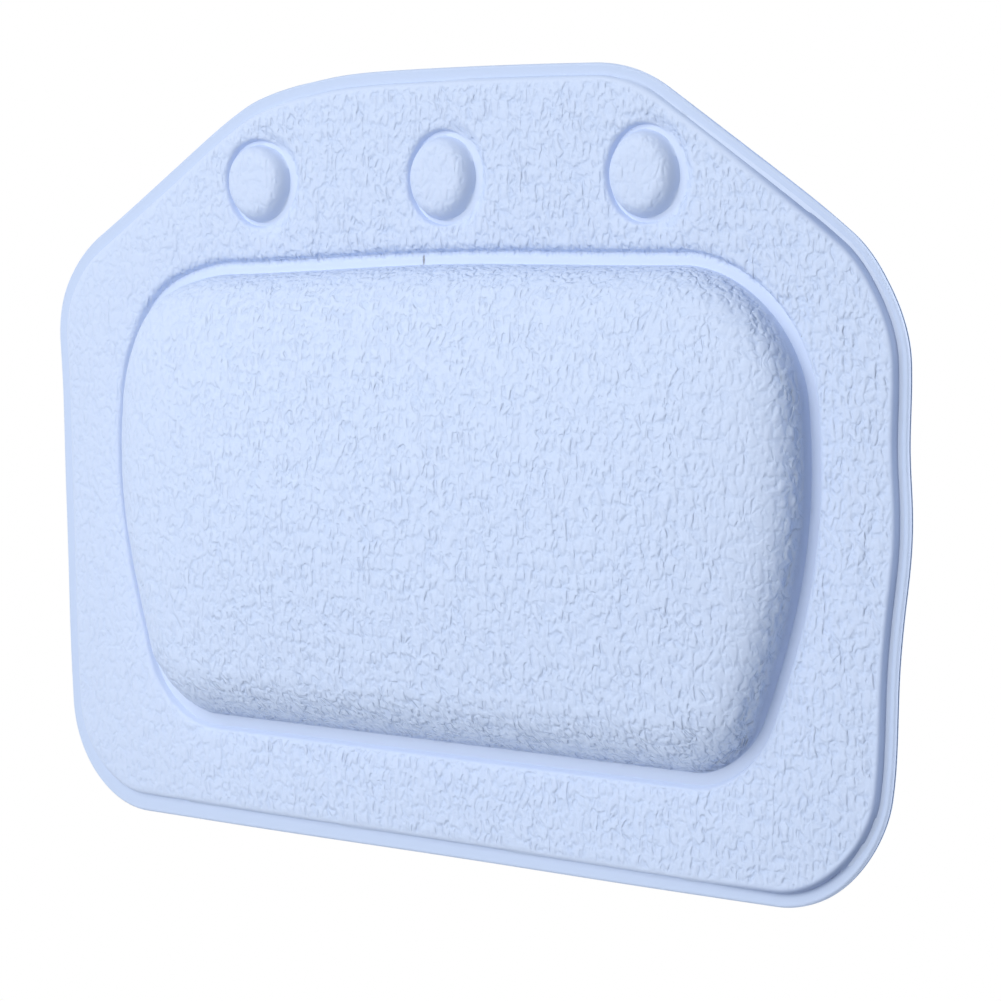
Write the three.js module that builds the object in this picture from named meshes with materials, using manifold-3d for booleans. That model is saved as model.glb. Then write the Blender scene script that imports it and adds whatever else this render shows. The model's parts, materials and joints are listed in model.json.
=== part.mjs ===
// A bath pillow of welded soft vinyl: an embossed front skin and a plain back sheet, welded
// together round the rim, round the headrest and round three buttons, with foam between them.
// A clear suction cup hangs behind each button and holds the pillow to the wall of the tub.
//
// Frame: millimetres, +X to the viewer's right, -Y to the front, +Z up. The origin is the
// middle of the centre cup's mouth, in the plane of the wall that the cups hold on to.
import * as THREE from "three";
import { mergeVertices } from "three/addons/utils/BufferGeometryUtils.js";
import Module from "manifold-3d";

const wasm = await Module();
wasm.setup();

// Clearances
const GAP = 0.3; // between neighbouring pieces
const CUT = 4; // how far a cutting shape runs past the face that it opens

// Outline of the pillow, measured to the corners that its arcs round
const FOOT_WIDTH = 315;
const SHOULDER_WIDTH = 330;
const SHOULDER_DROP = 58.9; // of the shoulders under the ends of the top edge
const TOP_WIDTH = 141.8;
const TOP_HEIGHT = 229.2;
const TOP_RISE = 1.5; // of the top edge's middle over its ends
const TOP_ARC_SHARE = 0.893; // of the straight top edge that the arc in its middle takes
const FOOT_RADIUS = 34;
const SHOULDER_RADIUS = 39;
const TOP_RADIUS = 51;
const SIDE_BOW = 2.5;

// Weld seam round the headrest, measured along its outer edge
const PANEL_FOOT_WIDTH = 226.2;
const PANEL_FOOT_HEIGHT = 30;
const PANEL_TO_SLOPE = 15.3; // from the seam's upper corners to the pillow's slopes
const PANEL_TO_BUTTONS = 8.8; // from the seam to the seams round the buttons
const PANEL_FOOT_RADIUS = 21;
const PANEL_HEAD_RADIUS = 36;
const PANEL_BOW = 15;
const PANEL_WELD_WIDTH = 3.8;

// Weld seams round the three buttons
const BUTTON_DROP = 30.9; // of the button centres under the ends of the top edge
const BUTTON_PITCH = 75;
const BUTTON_WELD_RADIUS = 13.7;
const BUTTON_RADIUS = 11; // at the foot of the dome
const BUTTON_RISE = 4.8;

// Skins, and the foam's rise over the plane between the two skins
const SKIN = 0.8;
const WELD_THICKNESS = 0.9; // of the front skin where it is pressed flat
const BACK_SHEET = 0.8;
const FLANGE_WIDTH = 3.8; // of the weld that closes the rim
const BORDER_RISE = 3;
const BORDER_ROUNDING = 3.4; // width of the border's rounded edge
const BUTTON_SEAM_ROUNDING = 2.2; // the same, round the button seams
const HEADREST_EDGE_RISE = 13;
const HEADREST_EDGE_REACH = 17; // from the headrest's foot to where its steep side ends
const HEADREST_CROWN_RISE = 9; // of the crown over the end of the steep side

// Suction cups and the washers that hold them in the back sheet
const CUP_RADIUS = 17.5;
const CUP_DEPTH = 12; // from the mouth to the boss that meets the back sheet
const CUP_HOLLOW = 8.4;
const CUP_RIM = 1.4; // width of the flat lip
const CUP_LIP = 0.9; // thickness of the lip
const CUP_BOSS_RADIUS = 6.4;
const CUP_BOSS_HEIGHT = 2.2;
const NECK_RADIUS = 3;
const HEAD_RADIUS = 5.5;
const HEAD_THICKNESS = 1.2;
const TAB_WIDTH = 9;
const TAB_LENGTH = 6; // of the peeling tab beyond the lip
const TAB_OVERLAP = 2.4; // of the tab with the lip
const WASHER_RADIUS = 8.5;
const WASHER_THICKNESS = 0.6;

// Fineness of the solids
const ARC_STEP = Math.PI / 9; // most that an outline turns between two points
const ROUND_STEPS = 14; // round a button
const CUP_STEPS = 32; // round a suction cup

// How the foam's edges rise, as shares of each edge's width (or a button's radius) and of its
// rise. The skin's outside is fine, and what lies under it follows in fewer steps.
const OUTSIDE = {
  roundingShares: [[0, 0], [0.22, 0.68], [1, 1]], // inwards, upwards
  buttonShares: [1, 0.92, 0.66, 0], // of the radius, from the foot to the middle
  steepSteps: 4, // up the headrest's steep side
  crownShares: [0.3, 0.75], // from the end of the steep side to the middle line
};
const UNDERSIDE = {
  roundingShares: [[0, 0], [1, 1]],
  buttonShares: [1, 0.8, 0],
  steepSteps: 2,
  crownShares: [0.5],
};
const BUTTON_POWER = 7; // flatness of a button's dome
const BELL_SHARES = [[0.84, 0.3], [0.66, 0.58], [0.44, 0.82], [0.2, 0.97], [0, 1]]; // outwards, up

// Outlines lie in X and Z. A ring is an outline with its rise, which is how far it lies to the
// front of the plane between the two skins.

// The edges that meet at a corner, and how far the outline turns there
function cornerOf(corners, i) {
  const corner = corners[i % corners.length];
  const before = corners.at((i % corners.length) - 1);
  const after = corners[(i + 1) % corners.length];
  const at = new THREE.Vector2(corner.x, corner.z);
  const came = new THREE.Vector2(corner.x - before.x, corner.z - before.z).normalize();
  const goes = new THREE.Vector2(after.x - corner.x, after.z - corner.z).normalize();
  const turn = Math.acos(came.dot(goes));
  return { at, came, goes, turn, reach: corner.radius * Math.tan(turn / 2) };
}

// Corners moved inwards by an equal distance from every edge, with smaller arcs
function insetCorners(corners, inset) {
  return corners.map((corner, i) => {
    const { came, goes } = cornerOf(corners, i);
    const turned = 1 + came.dot(goes);
    const x = corner.x - (inset * (came.y + goes.y)) / turned;
    const z = corner.z + (inset * (came.x + goes.x)) / turned;
    return { ...corner, x, z, radius: corner.radius - inset };
  });
}

// Points along a rounded outline; every inset of one outline has as many points
function roundedOutline(corners) {
  const points = [];
  corners.forEach((corner, i) => {
    const { at, came, goes, turn, reach } = cornerOf(corners, i);
    const start = at.clone().addScaledVector(came, -reach);
    const centre = start.clone().add(new THREE.Vector2(-came.y, came.x).multiplyScalar(corner.radius));
    const steps = Math.ceil(turn / ARC_STEP);
    for (let k = 0; k <= steps; k++) {
      points.push(start.clone().rotateAround(centre, (turn * k) / steps));
    }
    const last = points.at(-1);
    const next = cornerOf(corners, i + 1);
    const end = next.at.clone().addScaledVector(goes, -next.reach);
    for (let k = 1; k < corner.edgeSteps; k++) {
      points.push(last.clone().lerp(end, k / corner.edgeSteps));
    }
  });
  return points;
}

// Both sides of an outline swell outwards between its foot and its head
function bowed(points, foot, head, bow) {
  return points.map((p) => {
    const share = THREE.MathUtils.clamp((p.y - foot) / (head - foot), 0, 1);
    return new THREE.Vector2(p.x + Math.sign(p.x) * bow * Math.sin(Math.PI * share), p.y);
  });
}

// The flap with its buttons hangs from the top edge, and the headrest reaches up to the buttons
// and to the slopes between the shoulders and the top edge
const SHOULDER_HEIGHT = TOP_HEIGHT - SHOULDER_DROP;
const BUTTON_HEIGHT = TOP_HEIGHT - BUTTON_DROP;
const PANEL_HEAD_HEIGHT = BUTTON_HEIGHT - BUTTON_WELD_RADIUS - PANEL_TO_BUTTONS;
const slope = new THREE.Vector2((SHOULDER_WIDTH - TOP_WIDTH) / 2, SHOULDER_DROP);
const slopeInset = (PANEL_HEAD_HEIGHT - SHOULDER_HEIGHT) * (slope.x / slope.y);
const slopeBorder = PANEL_TO_SLOPE * (slope.length() / slope.y);
const PANEL_HEAD_WIDTH = SHOULDER_WIDTH - 2 * (slopeInset + slopeBorder);

// The arc in the middle of the top edge takes a share of what the arcs at its ends leave
const topTilt = Math.atan2(TOP_RISE, TOP_WIDTH / 2);
const topCornerReach = TOP_RADIUS * Math.tan((slope.angle() - topTilt) / 2);
const topStraight = TOP_WIDTH / 2 / Math.cos(topTilt) - topCornerReach;
const TOP_EDGE_RADIUS = (TOP_ARC_SHARE * topStraight) / Math.tan(topTilt);

const pillowCorners = [
  { x: -FOOT_WIDTH / 2, z: 0, radius: FOOT_RADIUS, edgeSteps: 1 },
  { x: FOOT_WIDTH / 2, z: 0, radius: FOOT_RADIUS, edgeSteps: 2 },
  { x: SHOULDER_WIDTH / 2, z: SHOULDER_HEIGHT, radius: SHOULDER_RADIUS, edgeSteps: 1 },
  { x: TOP_WIDTH / 2, z: TOP_HEIGHT, radius: TOP_RADIUS, edgeSteps: 1 },
  { x: 0, z: TOP_HEIGHT + TOP_RISE, radius: TOP_EDGE_RADIUS, edgeSteps: 1 },
  { x: -TOP_WIDTH / 2, z: TOP_HEIGHT, radius: TOP_RADIUS, edgeSteps: 1 },
  { x: -SHOULDER_WIDTH / 2, z: SHOULDER_HEIGHT, radius: SHOULDER_RADIUS, edgeSteps: 2 },
];

const panelCorners = [
  { x: -PANEL_FOOT_WIDTH / 2, z: PANEL_FOOT_HEIGHT, radius: PANEL_FOOT_RADIUS, edgeSteps: 1 },
  { x: PANEL_FOOT_WIDTH / 2, z: PANEL_FOOT_HEIGHT, radius: PANEL_FOOT_RADIUS, edgeSteps: 3 },
  { x: PANEL_HEAD_WIDTH / 2, z: PANEL_HEAD_HEIGHT, radius: PANEL_HEAD_RADIUS, edgeSteps: 1 },
  { x: -PANEL_HEAD_WIDTH / 2, z: PANEL_HEAD_HEIGHT, radius: PANEL_HEAD_RADIUS, edgeSteps: 3 },
];

function pillowRing(inset, rise) {
  const outline = roundedOutline(insetCorners(pillowCorners, inset));
  return { outline: bowed(outline, 0, SHOULDER_HEIGHT, SIDE_BOW), rise };
}

// The headrest's lines draw in from all sides, and their corners open up and their bow flattens
// towards its middle line
const PANEL_HALF = (PANEL_HEAD_HEIGHT - PANEL_FOOT_HEIGHT) / 2;

function panelRing(inset, rise) {
  const left = 1 - Math.max(0, inset) / PANEL_HALF;
  const corners = insetCorners(panelCorners, inset).map((corner, i) => ({
    ...corner,
    radius: inset > 0 ? Math.min(panelCorners[i].radius, PANEL_HALF - inset) : corner.radius,
  }));
  const foot = PANEL_FOOT_HEIGHT + inset;
  const head = PANEL_HEAD_HEIGHT - inset;
  return { outline: bowed(roundedOutline(corners), foot, head, PANEL_BOW * Math.sqrt(left)), rise };
}

// A closed solid through matching rings, from its back ring to its front ring
function loft(rings) {
  const count = rings[0].outline.length;
  const vertices = rings.flatMap(({ outline, rise }) => outline.flatMap((p) => [p.x, -rise, p.y]));
  const triangles = [];
  for (let ring = 0; ring < rings.length - 1; ring++) {
    for (let i = 0; i < count; i++) {
      const a = ring * count + i;
      const b = ring * count + ((i + 1) % count);
      triangles.push(a, b, b + count, a, b + count, a + count);
    }
  }
  for (const [a, b, c] of THREE.ShapeUtils.triangulateShape(rings[0].outline, [])) {
    triangles.push(a, c, b);
  }
  const front = (rings.length - 1) * count;
  for (const [a, b, c] of THREE.ShapeUtils.triangulateShape(rings.at(-1).outline, [])) {
    triangles.push(front + a, front + b, front + c);
  }
  const geometry = new THREE.BufferGeometry();
  geometry.setAttribute("position", new THREE.Float32BufferAttribute(vertices, 3));
  geometry.setIndex(triangles);
  return solidOf(geometry);
}

function solidOf(geometry) {
  const bare = geometry.clone();
  bare.deleteAttribute("normal");
  bare.deleteAttribute("uv");
  const merged = mergeVertices(bare);
  const vertProperties = new Float32Array(merged.attributes.position.array);
  const triVerts = new Uint32Array(merged.index.array);
  return new wasm.Manifold(new wasm.Mesh({ numProp: 3, vertProperties, triVerts }));
}

function geometryOf(solid) {
  const { vertProperties, triVerts } = solid.getMesh();
  const geometry = new THREE.BufferGeometry();
  geometry.setAttribute("position", new THREE.Float32BufferAttribute(vertProperties, 3));
  geometry.setIndex([...triVerts]);
  return geometry;
}

// A turned solid about the Y axis, from [radius, rise] pairs listed from the back to the front
function turned(profile, steps) {
  const points = profile.map(([radius, rise]) => new THREE.Vector2(radius, -rise));
  return solidOf(new THREE.LatheGeometry(points.reverse(), steps));
}

const buttonCentres = [-BUTTON_PITCH, 0, BUTTON_PITCH];

// The foam-filled forms. Each takes a depth under the outer surface, so that one rule makes the
// skin's outside, its inside, and the foam that lies a clearance below that. Each also takes the
// rise of its flat back.

function fineness(depth) {
  return depth > 0 ? UNDERSIDE : OUTSIDE;
}

function borderForm(depth, back) {
  const { roundingShares } = fineness(depth);
  const rise = BORDER_RISE - depth;
  const rimFoot = FLANGE_WIDTH + depth;
  const pitFoot = BUTTON_WELD_RADIUS + depth;
  const slab = loft([
    pillowRing(rimFoot, back),
    ...roundingShares.map(([inwards, upwards]) =>
      pillowRing(rimFoot + BORDER_ROUNDING * inwards, rise * upwards)),
  ]);
  const well = loft([
    panelRing(-depth, back - CUT),
    ...roundingShares.map(([inwards, upwards]) =>
      panelRing(-depth - BORDER_ROUNDING * inwards, rise * upwards)),
    panelRing(-depth - BORDER_ROUNDING, rise + CUT),
  ]);
  const pit = turned([
    [0, back - CUT],
    [pitFoot, back - CUT],
    ...roundingShares.map(([inwards, upwards]) =>
      [pitFoot + BUTTON_SEAM_ROUNDING * inwards, rise * upwards]),
    [pitFoot + BUTTON_SEAM_ROUNDING, rise + CUT],
    [0, rise + CUT],
  ], ROUND_STEPS);
  return buttonCentres.reduce((solid, x) => solid.subtract(placed(pit, x)), slab.subtract(well));
}

function headrestForm(depth, back) {
  const { steepSteps, crownShares } = fineness(depth);
  const foot = PANEL_WELD_WIDTH + depth;
  const middle = PANEL_HALF - PANEL_WELD_WIDTH;
  const crownAt = (inset) => HEADREST_CROWN_RISE * (1 - (1 - inset / middle) ** 2);
  const rings = [panelRing(foot, back)];
  for (let k = 0; k <= steepSteps; k++) {
    const angle = ((Math.PI / 2) * k) / steepSteps;
    const inset = HEADREST_EDGE_REACH * (1 - Math.cos(angle));
    const rise = HEADREST_EDGE_RISE * Math.sin(angle) + crownAt(inset);
    rings.push(panelRing(foot + inset, Math.max(0, rise - depth)));
  }
  for (const share of crownShares) {
    const inset = THREE.MathUtils.lerp(HEADREST_EDGE_REACH, middle, share);
    rings.push(panelRing(foot + inset, HEADREST_EDGE_RISE + crownAt(inset) - depth));
  }
  return loft(rings);
}

function buttonForm(depth, back) {
  const radius = BUTTON_RADIUS - depth;
  const rise = BUTTON_RISE - depth;
  return turned([
    [0, back],
    [radius, back],
    ...fineness(depth).buttonShares.map((share) =>
      [radius * share, rise * (1 - share ** BUTTON_POWER)]),
  ], ROUND_STEPS);
}

function placed(solid, x) {
  return solid.translate([x, 0, BUTTON_HEIGHT]);
}

function filledForms(depth, back) {
  const button = buttonForm(depth, back);
  return buttonCentres.reduce(
    (solid, x) => solid.add(placed(button, x)),
    borderForm(depth, back).add(headrestForm(depth, back)),
  );
}

// Front skin: the pressed sheet with its forms raised out of it, hollow behind them
function frontCover() {
  const pressed = loft([pillowRing(0, 0), pillowRing(0, WELD_THICKNESS)]);
  return pressed.add(filledForms(0, 0)).subtract(filledForms(SKIN, -CUT));
}

// Back sheet, with a hole for the neck of each cup
function backCover() {
  const sheet = loft([pillowRing(0, -GAP - BACK_SHEET), pillowRing(0, -GAP)]);
  const hole = turned([
    [0, -GAP - BACK_SHEET - CUT],
    [NECK_RADIUS + GAP, -GAP - BACK_SHEET - CUT],
    [NECK_RADIUS + GAP, CUT],
    [0, CUT],
  ], ROUND_STEPS);
  return buttonCentres.reduce((solid, x) => solid.subtract(placed(hole, x)), sheet);
}

// Foam under a button, hollowed for the washer and the head of the cup
function buttonPad() {
  const overWasher = WASHER_THICKNESS + GAP;
  const overHead = overWasher + HEAD_THICKNESS + GAP;
  const room = turned([
    [0, -CUT],
    [BUTTON_RADIUS, -CUT],
    [BUTTON_RADIUS, overWasher],
    [HEAD_RADIUS + GAP, overWasher],
    [HEAD_RADIUS + GAP, overHead],
    [0, overHead],
  ], ROUND_STEPS);
  return buttonForm(SKIN + GAP, 0).subtract(room);
}

function washer() {
  return turned([
    [NECK_RADIUS + GAP, 0],
    [WASHER_RADIUS, 0],
    [WASHER_RADIUS, WASHER_THICKNESS],
    [NECK_RADIUS + GAP, WASHER_THICKNESS],
    [NECK_RADIUS + GAP, 0],
  ], CUP_STEPS);
}

// Suction cup, from the wall at zero to its head inside the pillow: bell, boss, neck and head
const NECK_LENGTH = GAP + BACK_SHEET + GAP + WASHER_THICKNESS + GAP;

function suctionCup() {
  const mouth = CUP_RADIUS - CUP_RIM;
  const bellRise = CUP_DEPTH - CUP_BOSS_HEIGHT - CUP_LIP;
  const hollow = BELL_SHARES.map(([outwards, upwards]) => [mouth * outwards, CUP_HOLLOW * upwards]);
  const back = BELL_SHARES.filter(([outwards]) => CUP_RADIUS * outwards > CUP_BOSS_RADIUS)
    .map(([outwards, upwards]) => [CUP_RADIUS * outwards, CUP_LIP + bellRise * upwards]);
  const head = CUP_DEPTH + NECK_LENGTH;
  const bell = turned([
    ...hollow.toReversed(),
    [mouth, 0],
    [CUP_RADIUS, 0],
    [CUP_RADIUS, CUP_LIP],
    ...back,
    [CUP_BOSS_RADIUS, CUP_LIP + bellRise],
    [CUP_BOSS_RADIUS, CUP_DEPTH],
    [NECK_RADIUS, CUP_DEPTH],
    [NECK_RADIUS, head],
    [HEAD_RADIUS, head],
    [HEAD_RADIUS, head + HEAD_THICKNESS / 2],
    [HEAD_RADIUS - HEAD_THICKNESS / 2, head + HEAD_THICKNESS],
    [0, head + HEAD_THICKNESS],
  ], CUP_STEPS);
  const tongue = new THREE.Shape();
  tongue.moveTo(-TAB_WIDTH / 2, -CUP_RADIUS + TAB_OVERLAP);
  tongue.lineTo(-TAB_WIDTH / 2, -CUP_RADIUS - TAB_LENGTH + TAB_WIDTH / 2);
  tongue.absarc(0, -CUP_RADIUS - TAB_LENGTH + TAB_WIDTH / 2, TAB_WIDTH / 2, Math.PI, 2 * Math.PI);
  tongue.lineTo(TAB_WIDTH / 2, -CUP_RADIUS + TAB_OVERLAP);
  const tab = new THREE.ExtrudeGeometry(tongue, {
    depth: CUP_LIP / 2,
    bevelEnabled: false,
    curveSegments: ROUND_STEPS / 2,
  });
  tab.rotateX(Math.PI / 2);
  tab.translate(0, -CUP_LIP / 4, 0);
  const clearOfHollow = turned([
    [0, -CUT],
    [mouth, -CUT],
    [mouth, 0],
    ...hollow,
  ], CUP_STEPS);
  return bell.add(solidOf(tab).subtract(clearOfHollow));
}

// Materials
const vinyl = { color: 0xc3d6f6, roughness: 0.6, metalness: 0 };
const sheet = { color: 0xb9cdf0, roughness: 0.5, metalness: 0 };
const sponge = { color: 0xefe9da, roughness: 0.95, metalness: 0 };
const clearVinyl = { color: 0xdfe9ee, roughness: 0.15, metalness: 0, transparent: true, opacity: 0.45 };
const washerVinyl = { color: 0xd9dde0, roughness: 0.5, metalness: 0 };

function piece(name, solid, look, x = 0, y = 0, z = 0) {
  const mesh = new THREE.Mesh(geometryOf(solid), new THREE.MeshStandardMaterial(look));
  mesh.name = name;
  mesh.position.set(x, y, z);
  return mesh;
}

// Assembly: the pillow's own frame has its zero rise between the skins and its zero height at the
// lower edge, and hangs from the cups
const pillow = new THREE.Group();
pillow.position.set(0, -(CUP_DEPTH + GAP + BACK_SHEET + GAP), -BUTTON_HEIGHT);
pillow.add(
  piece("front_cover", frontCover(), vinyl),
  piece("back_cover", backCover(), sheet),
  piece("headrest_core", headrestForm(SKIN + GAP, 0), sponge),
  piece("border_padding", borderForm(SKIN + GAP, 0), sponge),
);

const group = new THREE.Group();
group.add(pillow);
["left", "middle", "right"].forEach((side, i) => {
  const x = buttonCentres[i];
  pillow.add(
    piece(`button_pad_${side}`, buttonPad(), sponge, x, 0, BUTTON_HEIGHT),
    piece(`cup_washer_${side}`, washer(), washerVinyl, x, 0, BUTTON_HEIGHT),
  );
  group.add(piece(`suction_cup_${side}`, suctionCup(), clearVinyl, x));
});

export default group;
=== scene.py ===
# %% [markdown]
# # A welded bath pillow
# The pillow is two skins of soft vinyl with foam between them. The front skin is pressed with a
# fine leather grain and formed over the foam; the back sheet is plain. Where the two are welded,
# round the rim, the headrest and three buttons, they lie flat and smooth. Suction cups behind the
# buttons hold it to the tub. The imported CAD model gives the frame: every size here is in metres,
# +X is to the right as seen from the front, the front faces -Y, and +Z is up.

# %% Load the frame
import json
import math

import bmesh
import bpy
import numpy as np
from mathutils import Matrix, Vector
from mathutils.bvhtree import BVHTree
from mathutils.geometry import delaunay_2d_cdt
from mathutils.kdtree import KDTree


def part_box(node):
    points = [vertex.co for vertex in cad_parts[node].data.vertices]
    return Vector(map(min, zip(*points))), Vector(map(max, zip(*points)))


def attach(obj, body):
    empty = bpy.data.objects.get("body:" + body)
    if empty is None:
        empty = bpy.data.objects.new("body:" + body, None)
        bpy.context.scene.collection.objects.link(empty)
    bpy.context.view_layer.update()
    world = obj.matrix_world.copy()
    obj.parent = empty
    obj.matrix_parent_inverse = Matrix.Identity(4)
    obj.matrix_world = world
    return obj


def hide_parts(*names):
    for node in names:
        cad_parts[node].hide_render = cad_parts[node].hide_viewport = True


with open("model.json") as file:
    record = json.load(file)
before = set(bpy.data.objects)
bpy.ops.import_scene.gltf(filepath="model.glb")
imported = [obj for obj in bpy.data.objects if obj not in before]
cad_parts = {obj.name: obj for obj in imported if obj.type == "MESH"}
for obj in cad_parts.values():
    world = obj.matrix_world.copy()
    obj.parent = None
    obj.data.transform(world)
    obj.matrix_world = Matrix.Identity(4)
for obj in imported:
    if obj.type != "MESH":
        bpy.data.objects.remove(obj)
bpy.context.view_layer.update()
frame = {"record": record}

# %% [markdown]
# ## Sizes
# A point of the pillow is given by its place on the plan, which is its X and Z, and by its rise,
# which is how far it lies to the front of the plane between the two skins. The frame gives that
# plane, the lower edge and the places of the cups. The rest are the sizes that the CAD model was
# made to, so that each piece lies where its node lies.

# %% Sizes of the pillow
MM = 0.001
low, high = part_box("front_cover")
PLANE = high.y  # Y of the plane between the skins
FOOT = low.z  # Z of the pillow's lower edge
HALF_WIDTH = high.x
CUP_XS = {
    mount["name"].removeprefix("cup_lip_"): mount["pos_m"][0]
    for mount in frame["record"]["mounts"]
    if mount["name"].startswith("cup_lip_")
}

SHOULDER = FOOT + 170.3 * MM
TOP = FOOT + 229.2 * MM
PILLOW_CORNERS = [  # X, Z, radius of the arc that rounds the corner
    (-157.5 * MM, FOOT, 34 * MM),
    (157.5 * MM, FOOT, 34 * MM),
    (165 * MM, SHOULDER, 39 * MM),
    (70.9 * MM, TOP, 51 * MM),
    (0, TOP + 1.5 * MM, 2400 * MM),
    (-70.9 * MM, TOP, 51 * MM),
    (-165 * MM, SHOULDER, 39 * MM),
]
SIDE_BOW = 2.5 * MM
PANEL_FOOT = FOOT + 30 * MM
PANEL_HEAD = FOOT + 175.8 * MM
PANEL_CORNERS = [
    (-113.1 * MM, PANEL_FOOT, 21 * MM),
    (113.1 * MM, PANEL_FOOT, 21 * MM),
    (127.3 * MM, PANEL_HEAD, 36 * MM),
    (-127.3 * MM, PANEL_HEAD, 36 * MM),
]
PANEL_BOW = 15 * MM

SKIN = 0.8 * MM  # thickness of the formed skin
GAP = 0.3 * MM  # clearance between neighbouring pieces
WELD = 0.9 * MM  # rise of the front skin where it is pressed flat
FLANGE = 3.8 * MM  # width of the weld round the rim
BORDER_RISE = 3.6 * MM  # the foam stands a little fuller here than in the CAD model
BORDER_SWELL = 0.5 * MM  # part of that rise which builds up over SWELL_REACH from the seams
SWELL_REACH = 8 * MM
ROUNDING = 3.4 * MM  # width of the border's rounded edge along the rim
PANEL_ROUNDING = 2.6 * MM  # and along the headrest's seam
PANEL_WELD = 3.8 * MM
EDGE_RISE = 13 * MM  # of the headrest's steep side
EDGE_REACH = 17 * MM
EDGE_FORMS = {  # where the quarter round of the steep side starts, and its power: less is boxier
    "right": (math.radians(3), 0.5),
    "left": (math.radians(12), 0.95),
    "foot": (math.radians(25), 1.0),
    "head": (math.radians(12), 0.7),
}
CROWN_RISE = 9 * MM
BUTTON_WELD = 13.7 * MM  # outer radius of the seam round a button
BUTTON_RADIUS = 12.2 * MM
BUTTON_SHIFT = 0.6 * MM  # the domes sit this much to the left in their seams
BUTTON_RISE = 5.7 * MM
BUTTON_POWER = 8  # flatness of the dome
PIT_ROUNDING = 1.7 * MM
PIT_SLOPE = 5 * MM  # on the right the pit rises slowly, without an edge
DOME_RIM = 4 * MM  # width of the dome's edge that has rows of points of its own
RIGHT_SIDE = (60 * MM, 140 * MM)  # X over which traits of the pillow's right side come in


def ramp(value, start, end):
    """From 0 at start to 1 at end, eased at both ends."""
    share = np.clip((value - start) / (end - start), 0, 1)
    return share * share * (3 - 2 * share)


def off_buttons(points):
    """Distance of points of the plan from the nearest button's centre."""
    across = points[:, 0, None] - np.array(list(CUP_XS.values()))
    return np.hypot(across, points[:, 1, None]).min(axis=1)


print("plane", round(PLANE, 4), "foot", round(FOOT, 4), "cups at", CUP_XS)

# %% [markdown]
# ## Seam lines
# The rim and the headrest's weld are polygons whose corners are arcs and whose sides bow out. A
# seam keeps points along its line with the normals that point out of it, and tells how deep any
# point of the plan lies inside it. All shapes of the skin follow from such depths.


# %% Draw the seam lines
def evenly(loop, step):
    """Points every step along a closed line."""
    closed = np.vstack([loop, loop[:1]])
    run = np.concatenate([[0], np.cumsum(np.linalg.norm(np.diff(closed, axis=0), axis=1))])
    count = round(run[-1] / step)
    places = np.linspace(0, run[-1], count, endpoint=False)
    return np.stack([np.interp(places, run, closed[:, k]) for k in (0, 1)], axis=1)


def rounded(corners, steps=40):
    """A polygon, listed anticlockwise, with an arc at each corner."""
    loop = []
    for i, (x, z, radius) in enumerate(corners):
        corner = Vector((x, z))
        came = (corner - Vector(corners[i - 1][:2])).normalized()
        goes = (Vector(corners[(i + 1) % len(corners)][:2]) - corner).normalized()
        turn = math.acos(came.dot(goes))
        start = corner - came * radius * math.tan(turn / 2)
        centre = start + Vector((-came.y, came.x)) * radius
        for k in range(steps + 1):
            spoke = start - centre
            angle = turn * k / steps
            c, s = math.cos(angle), math.sin(angle)
            loop.append(centre + Vector((spoke.x * c - spoke.y * s, spoke.x * s + spoke.y * c)))
    return np.array([tuple(p) for p in loop])


class Seam:
    """A closed line on the plan, drawn finely, whose two sides swell out by bow."""

    def __init__(self, corners, bow, foot, head, step):
        fine = evenly(rounded(corners), step / 4)
        share = np.clip((fine[:, 1] - foot) / (head - foot), 0, 1)
        fine[:, 0] += np.sign(fine[:, 0]) * bow * np.sin(np.pi * share)
        self.fine, self.fine_normals = self.with_normals(evenly(fine, step / 4))
        self.points, self.normals = self.with_normals(evenly(fine, step))
        self.tree = KDTree(len(self.fine))
        for i, (x, z) in enumerate(self.fine):
            self.tree.insert((x, z, 0), i)
        self.tree.balance()

    def with_normals(self, points):
        along = np.roll(points, -1, axis=0) - np.roll(points, 1, axis=0)
        along /= np.linalg.norm(along, axis=1)[:, None]
        return points, np.stack([along[:, 1], -along[:, 0]], axis=1)

    def inset(self, depth):
        """The line moved inwards by depth."""
        return self.points - depth * self.normals

    def depth(self, plan):
        """How deep each point of the plan lies inside the line, and the nearest normal."""
        nearest = np.array([self.tree.find((x, z, 0))[1] for x, z in plan.tolist()], int)
        normals = self.fine_normals[nearest]
        return -np.sum((plan - self.fine[nearest]) * normals, axis=1), normals


SPACING = 0.75 * MM  # between neighbouring points of the front skin
rim = Seam(PILLOW_CORNERS, SIDE_BOW, FOOT, SHOULDER, SPACING)
panel = Seam(PANEL_CORNERS, PANEL_BOW, PANEL_FOOT, PANEL_HEAD, SPACING)
print("points along the rim", len(rim.points), "and round the headrest", len(panel.points))

# %% [markdown]
# ## The headrest's crown
# Foam pushes the headrest's skin out until the skin pulls tight, so its crown is the shape of a
# sheet under pressure that is held along its seam. It could be a formula, but the corners of a
# formula show as creases. Here a flat sheet is cut to the seam, pinned there and blown up as
# cloth, and its height is scaled to the crown's real rise.

# %% Blow up a sheet for the crown
CLOTH_CELL = 5 * MM
CLOTH_FRAMES = 60
CLOTH_PRESSURE = 4
SNAP = 0.55 * CLOTH_CELL  # points this near the seam are moved onto it
FAR = 1.0  # rays start this far in front of the sheet


def deselect_all():
    if bpy.context.mode != "OBJECT":
        bpy.ops.object.mode_set(mode="OBJECT")
    bpy.ops.object.select_all(action="DESELECT")


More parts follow.
